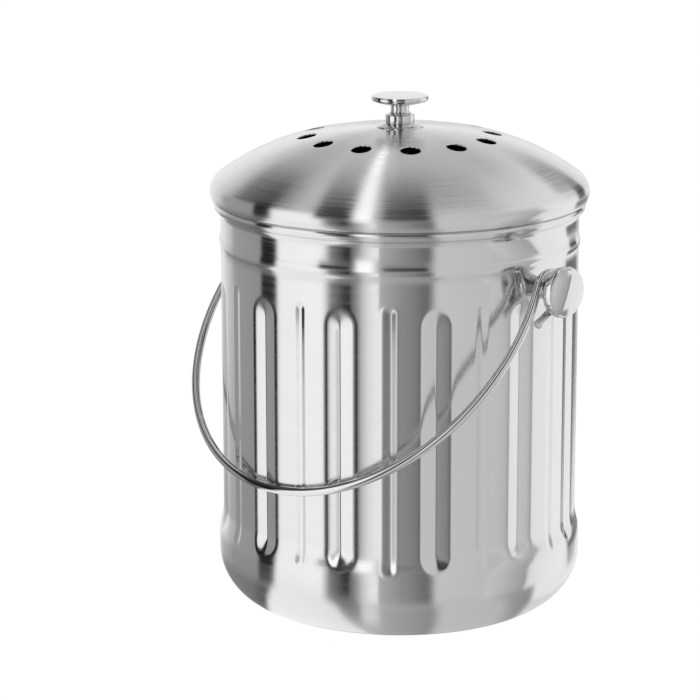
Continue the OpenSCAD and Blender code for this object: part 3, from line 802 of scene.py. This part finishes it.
def sleeve_grid(steps=96):
    """Tube between the saddle cut and the cap, as five rings, from the bore's inner end round to its
    outer end. Each ring has a radius and lies on the saddle, at the chamfer or against the cap."""
    angle = np.linspace(0, 2 * np.pi, steps, endpoint=False)
    bore_r = STUD_R + HOLE_GAP
    rings = []
    for r, place in ((bore_r, "saddle"), (SLEEVE_R, "saddle"), (SLEEVE_R, "chamfer"),
                     (SLEEVE_R - CHAMFER, "cap"), (bore_r, "cap")):
        y, z = r * np.cos(angle), r * np.sin(angle)
        ends = {"saddle": np.sqrt(WALL_R ** 2 - y ** 2), "chamfer": CAP_X - CHAMFER, "cap": CAP_X}
        rings.append(np.stack([ends[place] + 0 * angle, y, z + PIVOT_Z], -1))
    points = np.concatenate(rings + rings[:1])
    return points, outward(points, grid_faces(6, steps, True))


def mirrored(points, faces):
    """The same piece on the other side: X changes sign, so the faces are turned round."""
    return points * np.array([-1, 1, 1]), faces[:, ::-1]


right_shapes = {"cap": turned(cap_outline(), axis="X"), "sleeve": sleeve_grid()}
for side in ("right", "left"):
    for part, shape in right_shapes.items():
        turned_part = shape if side == "right" else mirrored(*shape)
        piece(f"{side}_{part}", *turned_part, post_steel, "pail", f"handle_{part}_{side}", "post_steel")

# %% [markdown]
# ## The bail
# One wire makes the whole handle. Its path starts at the open end of a hook, goes round the sleeve, down
# a splayed leg, along the round bow and back up to the other hook. A curve with a round bevel could make
# it, but a circle that is carried along the path has rings whose places are known.

# %% Bail sizes
WIRE_R = 2.0
BOW_GAP = 4.6
BOW_R = LID_R + BOW_GAP + WIRE_R
BAIL_REACH = 127.7
BOW_D = BAIL_REACH - BOW_R
SPLAY = math.radians(5)
LEG_OFFSET = 4.0
HOOK_PLAY = 0.6
HOOK_R = SLEEVE_R + HOOK_PLAY + WIRE_R
LEG_LEAN = math.radians(14)
TAIL_LEAN = math.radians(22)
TAIL_L = 17.0
HOOK_TRAVEL = 4.0
LEG_U = BOW_R * math.cos(SPLAY) - (BOW_D - BOW_R * math.sin(SPLAY)) * math.tan(SPLAY)
HOOK_U = LEG_U + HOOK_TRAVEL / 2
HOOK_TILT = math.asin(HOOK_TRAVEL / 2 / HOOK_R)
LEAN_GAP = 0.3
LEAN_OUT = math.asin((WALL_R + WIRE_R + LEAN_GAP) / math.hypot(BAIL_REACH, LEG_OFFSET))
REST = LEAN_OUT - math.atan(LEG_OFFSET / BAIL_REACH)
CORNER_SHARE = 0.55
print("bow radius", round(BOW_R, 2), "leans out by", round(math.degrees(REST), 2), "degrees")

# %% Bail path


def hook_points(steps=40):
    """Right hook in (u, d, n): u along the pivot, d down the leg, n out of the bow's plane. It is a
    circle of radius HOOK_R that is tilted about d, from the tail's side over the top to the leg's."""
    a = np.linspace(math.pi + TAIL_LEAN, -LEG_LEAN, steps)
    n = HOOK_R * np.cos(a)
    ring = np.stack([HOOK_U - n * math.sin(HOOK_TILT), -HOOK_R * np.sin(a), n * math.cos(HOOK_TILT)], -1)
    along = np.linspace(TAIL_L, 0, 10)[:-1, None]
    tail = ring[0] + along * np.array([0, math.cos(TAIL_LEAN), math.sin(TAIL_LEAN)])
    return np.concatenate([tail, ring])


def bail_path():
    """Hook, a rounded bend into the bow's plane, the bow from one leg to the other, and the mirror."""
    hook = hook_points()
    top = hook[-1]
    bend_d = top[1] + (top[2] - LEG_OFFSET) / math.tan(LEG_LEAN)
    corner = np.array([LEG_U + bend_d * math.tan(SPLAY), bend_d, LEG_OFFSET])
    a = np.linspace(-SPLAY, math.pi + SPLAY, 150)
    bow = np.stack([BOW_R * np.cos(a), BOW_D + BOW_R * np.sin(a), LEG_OFFSET + 0 * a], -1)
    t = np.linspace(0, 1, 16)[1:-1, None]
    blend_in = corner + CORNER_SHARE * (top - corner)
    blend_out = corner + CORNER_SHARE * (bow[0] - corner)
    curve = (1 - t) ** 2 * blend_in + 2 * t * (1 - t) * corner + t ** 2 * blend_out
    half = np.concatenate([hook, curve])
    other = half[::-1] * np.array([-1, 1, 1])
    return np.concatenate([half, bow, other])


def leaning(path):
    """Turns (u, d, n) into the model's axes with the bail leaning at its rest angle."""
    u, d, n = path.T
    y = -(d * math.sin(REST) + n * math.cos(REST))
    z = -d * math.cos(REST) + n * math.sin(REST) + PIVOT_Z
    return np.stack([u, y, z], -1)


wire_path = leaning(bail_path())
cut = np.linalg.norm(np.diff(wire_path, axis=0), axis=1).sum()
print("the wire is cut to", round(float(cut)), "mm")

# %% [markdown]
# Each ring of the wire needs a side direction that is square to the wire's heading. The last ring's
# side, made square to the new heading, turns as little as it can, so the rings never twist.

# %% Bail wire
WIRE_SIDES = 24
WIRE_CHAMFER = 0.35
FIRST_SIDE = (1.0, 0.1, 0.0)


def swept(path, radius, sides, chamfer):
    """Tube along a path. A ring's side direction is the last one made square to the new heading, and
    the first and last rings shrink to a point over a small chamfer, which closes the wire's ends."""
    heading = np.gradient(path, axis=0)
    heading /= np.linalg.norm(heading, axis=1, keepdims=True)
    side = np.empty_like(path)
    last = np.array(FIRST_SIDE)
    for i, t in enumerate(heading):
        last = last - last.dot(t) * t
        last /= np.linalg.norm(last)
        side[i] = last
    up = np.cross(heading, side)
    widths = np.full(len(path) + 4, radius)
    widths[[0, -1]] = 0
    widths[[1, -2]] = radius - chamfer
    order = np.concatenate([[0, 0], np.arange(len(path)), [len(path) - 1] * 2])
    shift = np.zeros((len(order), 3))
    shift[2] = chamfer * heading[0]
    shift[-3] = -chamfer * heading[-1]
    a = np.linspace(0, 2 * np.pi, sides, endpoint=False)[None, :, None]
    around_wire = np.cos(a) * side[order][:, None] + np.sin(a) * up[order][:, None]
    points = (path[order] + shift)[:, None] + widths[:, None, None] * around_wire
    points = points.reshape(-1, 3)
    return points, outward(points, grid_faces(len(order), sides, True))


piece("bail_wire", *swept(wire_path, WIRE_R, WIRE_SIDES, WIRE_CHAMFER), wire_steel,
      "bail", "bail_handle", "wire_steel")

# %% [markdown]
# ## The filter pad and the plain pieces
# The carbon pad is felt: a disc with soft, rounded edges and a surface that isn't quite flat. Fasteners
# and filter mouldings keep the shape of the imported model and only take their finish.

# %% Filter pad
PAD_LOW = edge("charcoal_filter", 0, Z)
PAD_HIGH = edge("charcoal_filter", 1, Z)
PAD_R = edge("charcoal_filter", 1, X)
PAD_ROUND = 2.5
PAD_CALM_R = 12.0
PAD_WAVE = 0.25


def pad_points():
    """Rounded disc whose rim and top are moved inward by slow waves, wave * (1 + sin * cos), which run
    round and across it. They die out towards the middle, and the top moves twice as far as the rim."""
    rim = PAD_R - PAD_ROUND
    outline = np.concatenate([
        np.stack([np.linspace(0, rim, 24), np.full(24, PAD_LOW)], -1),
        arc((rim, PAD_LOW + PAD_ROUND), PAD_ROUND, -90, 0, 6)[1:],
        arc((rim, PAD_HIGH - PAD_ROUND), PAD_ROUND, 0, 90, 6),
        np.stack([np.linspace(rim, 0, 24), np.full(24, PAD_HIGH)], -1)[1:]])
    points, faces = turned(outline, 160)
    angle = np.arctan2(points[:, 1], points[:, 0])
    radius = np.hypot(points[:, 0], points[:, 1])
    wave = PAD_WAVE * (1 + np.sin(5 * angle + 0.21 * radius) * np.cos(0.13 * radius + 2 * angle))
    share = np.clip(radius / PAD_CALM_R, 0, 1) * (points[:, 2] > PAD_LOW + PAD_ROUND)
    points[:, 2] -= wave * share * 2 * (points[:, 2] > PAD_HIGH - PAD_ROUND)
    points[:, :2] *= (1 - (wave * share / np.maximum(radius, 1)))[:, None]
    return points, faces


pad = piece("carbon_pad", *pad_points(), carbon_felt, "cage", "charcoal_filter", "carbon_pad")

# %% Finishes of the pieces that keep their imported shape
PLAIN = {
    "handle_washer_right": hardware_steel, "handle_washer_left": hardware_steel,
    "handle_nut_right": hardware_steel, "handle_nut_left": hardware_steel,
    "knob_screw": hardware_steel, "knob_washer": hardware_steel,
    "filter_housing": black_plastic, "filter_cage": black_plastic,
}
for node, material in PLAIN.items():
    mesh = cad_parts[node].data
    mesh.materials.clear()
    mesh.materials.append(material)
print(len(PLAIN), "plain pieces took a finish")

# %% [markdown]
# ## The studio
# Polished metal shows only what stands around it, so the studio is a pale room with tall light and dark
# cards, as a photographer sets them up. A card is easiest to place by the surface that shows it to the
# camera: a normal n shows the direction r for which n is the half-way vector of r and the direction v to
# the camera, n = (r + v) / |r + v|. The azimuth of n says where round the pail a card appears, and the
# tilt of n says on which part: near 0 the lid's middle, near 90 the wall, beyond that the lower corner.
#
# Each card has a name, the azimuths of its two sides and their softness, the tilts of its two ends and
# their softness, and its level at each side. Some also lean, and the cap's bow. Later cards stand in
# front of earlier ones.

# %% Room and cards
VIEW_TILT = 11.0
PEAK = 2.5
BACK_FADE = (0.1, 0.35)
BACK_LEVEL = 0.8
ROOM = [
    (-180, 0.8), (-100, 0.95), (-78, 0.9), (-70, 0.72), (-62, 0.66), (-54, 0.55), (-40, 0.55), (-30, 0.6),
    (-10, 0.6), (30, 0.6), (42, 0.52), (55, 0.68), (70, 0.76), (90, 0.9), (120, 0.8)]
CARDS = [
    ("left haze", (-64, -36), 5, (27, 66), (5, 6), (0.36, 0.26)),
    ("left cloud", (-60, -41.5), 3, (31, 68), (4, 4), (0.2, 0.02)),
    ("grey side", (-68, -48), 4, (62, 150), (6, 8), (0.42, 0.34)),
    ("grey floor side", (-75, -50), 5, (100, 180), (10, 8), (0.28, 0.2)),
    ("black pole", (-49.5, -42.5), 0.9, (58, 100), (6, 8), (0.02, 0.01)),
    ("low pole", (-50, -41.5), 1.8, (100, 136), (8, 10), (0.22, 0.08), -0.18),
    ("window", (-41.5, -21), 1.2, (66, 100), (5, 8), (1.1, 1.16)),
    ("low window", (-41.5, -20), 1.8, (98, 160), (6, 10), (1.05, 1.05), -0.18),
    ("window's low side", (-44, -23.5), 2.2, (98, 160), (6, 10), (1.05, 0.98), 0.2),
    ("middle haze", (-27, -15), 2, (24, 31), (5, 5), (0.42, 0.4)),
    ("dark flag", (-26.4, -14.7), 1.2, (31.5, 80), (3, 4), (0.08, 0.03)),
    ("wall flag", (-23.4, -14.5), 2, (80, 102), (4, 8), (0.3, -0.08)),
    ("low flag", (-21, -11.5), 3, (98, 122), (6, 22), (0.2, 0.3), 0.12),
    ("shade beside the strip", (-5.5, 15), 3, (25, 34), (5, 5), (0.28, 0.42)),
    ("right haze", (9, 32), 4, (24, 37), (4, 4), (0.36, 0.5)),
    ("grey panel", (-7.5, 10.5), 2, (80, 104), (4, 8), (0.52, 0.12)),
    ("low panel", (-9, 13), 3.4, (104, 170), (8, 8), (0.52, 0.3)),
    ("black panel", (-5.5, 9.6), 1.8, (31.5, 79), (3, 4), (0.12, 0.04)),
    ("strip light", (-13.6, -8.2), 1, (-10, 84), (2, 3), (1.3, 1.35)),
    ("strip's far end", (-13, -8.8), 1, (6, 21), (2, 6), (1.6, 1.6)),
    ("wall strip", (-14.6, -7), 0.9, (84, 102), (3, 6), (0.15, 1.25)),
    ("low strip", (-11.2, -6.4), 2.2, (102, 130), (8, 14), (0.9, 0.75)),
    ("thin strip", (-3.4, -1.6), 0.7, (-10, 27), (2, 5), (0.7, 0.7)),
    ("right wall", (11.2, 34), 1.8, (62, 102), (6, 8), (0.7, 0.62)),
    ("low right wall", (13, 34), 3.4, (102, 160), (8, 8), (0.66, 0.6)),
    ("grey edge", (32, 44), 3, (84, 106), (5, 5), (0.44, 0.44)),
    ("low shade", (34, 47), 3.5, (100, 150), (8, 8), (0.42, 0.27), 0.1),
    ("right glow", (32, 62), 6, (31, 70), (6, 6), (0.75, 0.95)),
    ("right window", (47.4, 80), 2.2, (66, 126), (6, 8), (1.0, 0.95)),
    ("low right window", (46, 80), 2.5, (126, 160), (8, 8), (0.8, 0.78)),
    ("right wall flag", (66.5, 79.5), 1.2, (86, 101), (3, 6), (0.12, 0.2)),
    ("far right shade", (80, 92), 1.5, (84, 99), (4, 4), (0.42, 0.42)),
    ("cap's grey side", (30, 45.2), 0.5, (79, 102), (1.5, 1.5), (0.72, 0.42), -0.4, -0.007),
    ("cap's bright side", (45.2, 66), 0.3, (79, 102), (1.5, 1.5), (0.95, 1.05), -0.4, -0.007),
    ("cap's edge line", (44.8, 45.5), 0.3, (79, 102), (1.5, 1.5), (0.15, 0.15), -0.4, -0.007),
    ("right flag", (69.2, 76.8), 1.4, (36, 82), (6, 4), (0.13, 0.07)),
    ("right shade", (60, 74), 4, (26, 42), (5, 6), (0.4, 0.4)),
    ("floor shade", (-180, 180), 1, (158, 200), (8, 1), (0.3, 0.3)),
    ("ceiling", (-180, 180), 1, (-20, 7), (1, 3), (0.95, 0.95)),
]
print(len(CARDS), "cards stand in the studio")

# %% Light by direction


def ramp_up(tree, value, low, high, kind="SMOOTHSTEP"):
    """0 below low, 1 above high, and an S-curve or a straight line between them."""
    node = tree.add("ShaderNodeMapRange", {"interpolation_type": kind},
                    {"Value": value, "From Min": low, "From Max": high})
    return node.out(0)


def within(tree, value, span, soft):
    """1 inside a span and 0 outside it, with soft edges that are half-way at the span's ends."""
    return ramp_up(tree, value, span[0] - soft[0], span[0] + soft[0]) * (
        1 - ramp_up(tree, value, span[1] - soft[1], span[1] + soft[1]))


def studio_world():
    """Light by direction: the room's level by the azimuth of n, then each card mixed in over it,
    level + mask * (card - level), where a card's level runs from one of its sides to the other. A card
    may lean and bow: its place is azimuth + lean * (90 - tilt) + bow * (90 - tilt)^2. Straight behind
    the pail, where r + v is short and n turns fast, everything fades to one level. Camera rays see
    plain white instead."""
    world = bpy.data.worlds.new("studio")
    bpy.context.scene.world = world
    tree = Tree(world)
    coords = tree.add("ShaderNodeTexCoord").out("Generated")
    split = tree.add("ShaderNodeSeparateXYZ", None, [coords])
    x, y, z = (split.out(name) for name in "XYZ")
    turn = math.radians(VIEW_AZIMUTH)
    right = x * math.cos(turn) + y * math.sin(turn)
    toward = x * math.sin(turn) - y * math.cos(turn) + math.cos(math.radians(VIEW_TILT))
    up = z + math.sin(math.radians(VIEW_TILT))
    aside = tree.hypot(right, toward)
    azimuth = right.math("ARCTAN2", toward) * (180 / math.pi)
    tilt = aside.math("ARCTAN2", up) * (180 / math.pi)
    stops = [((a + 180) / 360, value / PEAK) for a, value in ROOM]
    level = tree.add("ShaderNodeValToRGB", {"stops": stops}, [azimuth / 360 + 0.5]).out("Color") * PEAK
    above = 90 - tilt
    for name, span, soft, rise, rise_soft, (near, far), *lean in CARDS:
        place = azimuth
        for power, slope in enumerate(lean):
            place = place + (above * above if power else above) * slope
        mask = within(tree, place, span, (soft, soft)) * within(tree, tilt, rise, rise_soft)
        card = ramp_up(tree, place, *span, "LINEAR") * (far - near) + near
        level = level + mask * (card - level)
    opposite = 1 - ramp_up(tree, tree.hypot(aside, up), *BACK_FADE)
    level = level + opposite * (BACK_LEVEL - level)
    seen = tree.add("ShaderNodeLightPath").out("Is Camera Ray")
    shown = level * (1 - seen) + seen
    background = tree.add("ShaderNodeBackground", None, {"Color": shown, "Strength": 1.0})
    tree.add("ShaderNodeOutputWorld", None, [background.out()])
    return world


studio = studio_world()
print(len(studio.node_tree.nodes), "nodes in the studio's light")

# %% [markdown]
# The floor is plain and white. It glows, so that it meets the white background without a line, and a
# small share of plain diffuse white keeps a soft shadow under the pail. The steel doesn't mirror it: the
# cards already say what the steel shows from below.

# %% Floor
FLOOR_SIZE = 6.0
FLOOR_DROP = 0.0002
GLOW = 1.05
GLOW_SHARE = 0.93
FLOOR_WHITE = (0.8, 0.8, 0.8, 1)


def pale_floor():
    """A square a hair under the base, with a mix of glow and diffuse white."""
    mesh = bpy.data.meshes.new("floor")
    h = FLOOR_SIZE / 2
    mesh.from_pydata([(-h, -h, 0), (h, -h, 0), (h, h, 0), (-h, h, 0)], [], [(0, 1, 2, 3)])
    floor = bpy.data.objects.new("floor", mesh)
    bpy.context.scene.collection.objects.link(floor)
    floor.location.z = -FLOOR_DROP
    material = bpy.data.materials.new("pale_floor")
    tree = Tree(material)
    diffuse = tree.add("ShaderNodeBsdfDiffuse", None, {"Color": FLOOR_WHITE})
    glow = tree.add("ShaderNodeEmission", None, {"Color": (1, 1, 1, 1), "Strength": GLOW})
    mix = tree.add("ShaderNodeMixShader", None, [GLOW_SHARE, diffuse.out(), glow.out()])
    tree.add("ShaderNodeOutputMaterial", None, [mix.out()])
    mesh.materials.append(material)
    floor.visible_glossy = False
    floor.visible_shadow = False
    return floor


pale_floor()
bpy.context.scene.view_settings.view_transform = "Standard"
